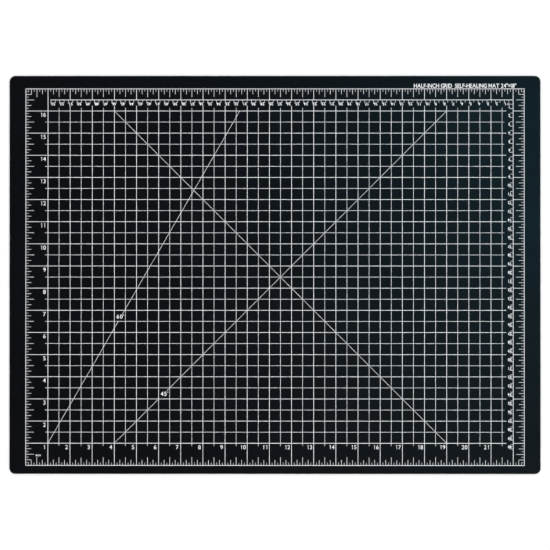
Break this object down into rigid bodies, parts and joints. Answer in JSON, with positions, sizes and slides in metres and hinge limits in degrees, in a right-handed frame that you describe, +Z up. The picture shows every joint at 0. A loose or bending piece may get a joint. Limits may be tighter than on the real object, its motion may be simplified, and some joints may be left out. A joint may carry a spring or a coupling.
{
  "type": "self healing cutting mat",
  "caption": "Flat rectangular self-healing cutting mat with rounded corners, a bonded five-ply sheet printed with inch and centimetre rules, a half-inch grid and angle lines.",
  "frame": {"origin": "centre of the mat's underside, on the surface that it lies on", "axes": "+X along the long side, towards the right as the inch numerals read upright; +Y along the short side, towards the caption; +Z up through the thickness, out of the printed face"},
  "size_m": [0.609, 0.4564, 0.003],
  "materials": {
    "skin": "matt black flexible PVC with a fine grain",
    "core": "matt dark stiff PVC",
    "bond": "matt adhesive film",
    "ink": "matt pale screen-printing ink"
  },
  "bodies": {
    "root": {"bottom_skin": "skin", "lower_bond_film": "bond", "rigid_core": "core", "upper_bond_film": "bond", "top_skin": "skin", "border_frame": "ink", "bottom_inch_ticks": "ink", "left_inch_ticks": "ink", "top_inch_ticks": "ink", "right_inch_ticks": "ink", "inch_grid": "ink", "half_inch_grid": "ink", "top_cm_rule": "ink", "side_cm_rule": "ink", "bottom_inch_numerals": "ink", "left_inch_numerals": "ink", "top_cm_numerals": "ink", "side_cm_numerals": "ink", "sixty_degree_line": "ink", "sixty_degree_label": "ink", "rising_diagonal": "ink", "falling_diagonal": "ink", "forty_five_degree_label": "ink", "inch_unit_word": "ink", "cm_unit_word": "ink", "size_caption": "ink"}
  },
  "joints": []
}
